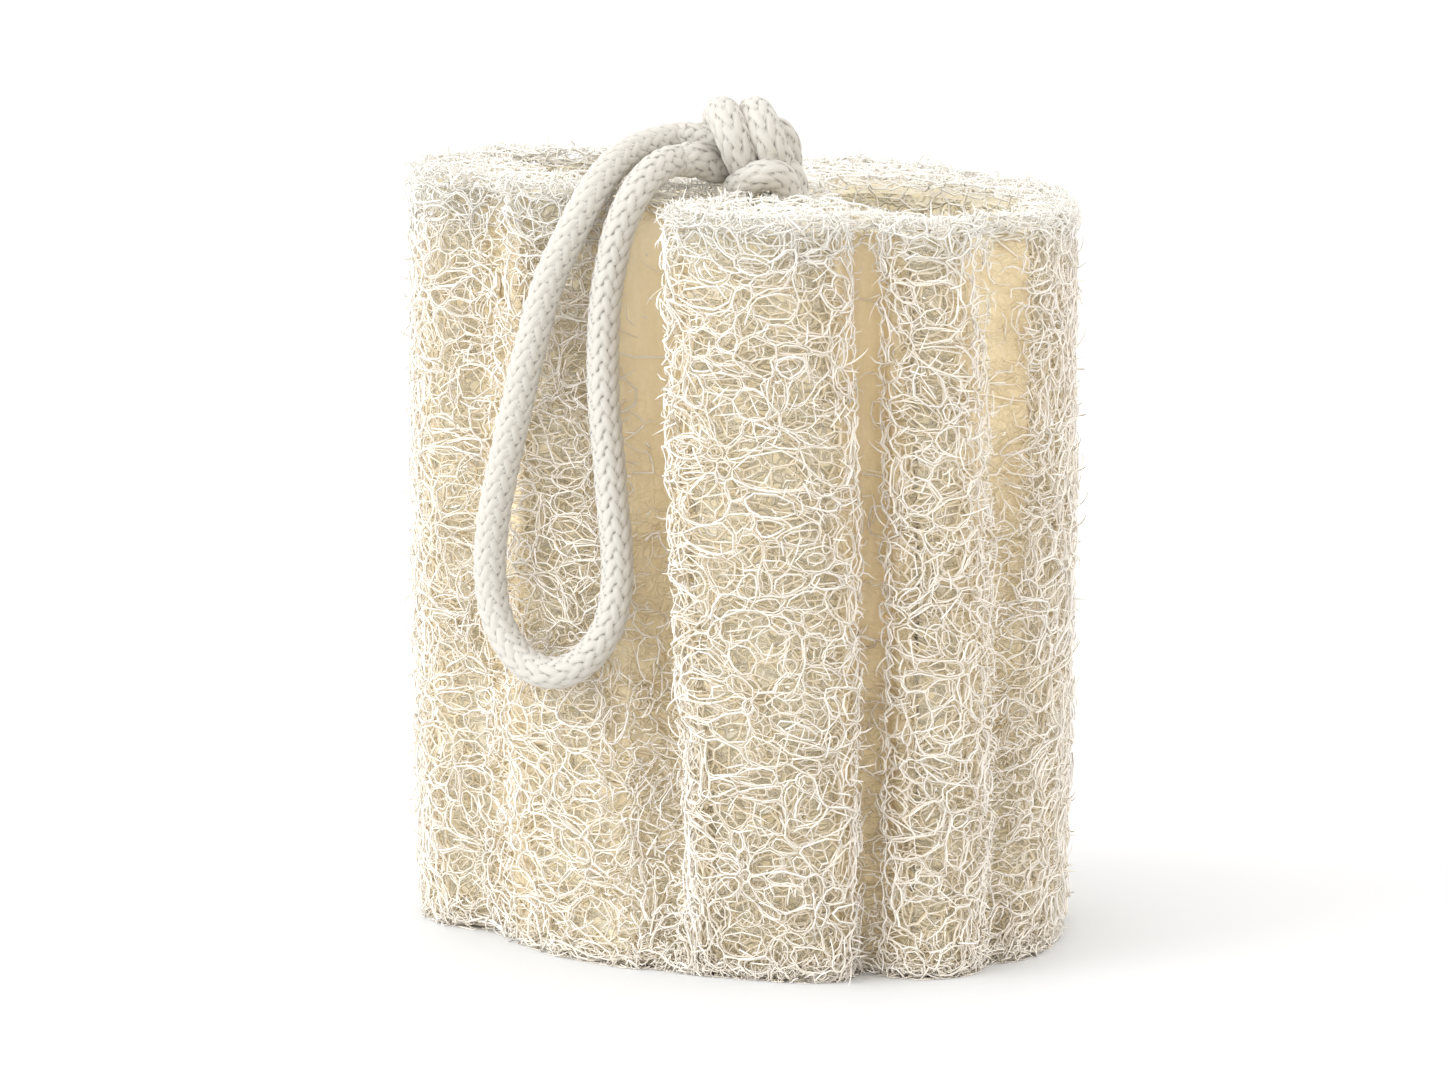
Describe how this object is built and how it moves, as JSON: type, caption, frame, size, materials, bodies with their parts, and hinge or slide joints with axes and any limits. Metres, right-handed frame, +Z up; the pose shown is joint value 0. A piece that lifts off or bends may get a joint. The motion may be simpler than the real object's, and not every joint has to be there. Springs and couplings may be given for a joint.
{
  "type": "natural loofah sponge with hanging loop",
  "caption": "Upright section of natural loofah with a fluted, netted wall, open seed channels and a knotted cotton hanging loop.",
  "frame": {"origin": "middle of the sponge's bounding box, on the surface that it stands on", "axes": "+Z up along the sponge and its seed channels; -Y is the front, where the loop hangs; +X is to the right seen from the front"},
  "size_m": [0.1235, 0.1178, 0.1555],
  "materials": {
    "loofah_fibre": "dried plant fibre net, cream to straw, matte",
    "cotton_cord": "braided cotton cord, undyed, matte"
  },
  "bodies": {
    "root": {"loofah_sponge": "loofah_fibre", "cord_loop": "cotton_cord", "cord_knot": "cotton_cord"}
  },
  "joints": []
}
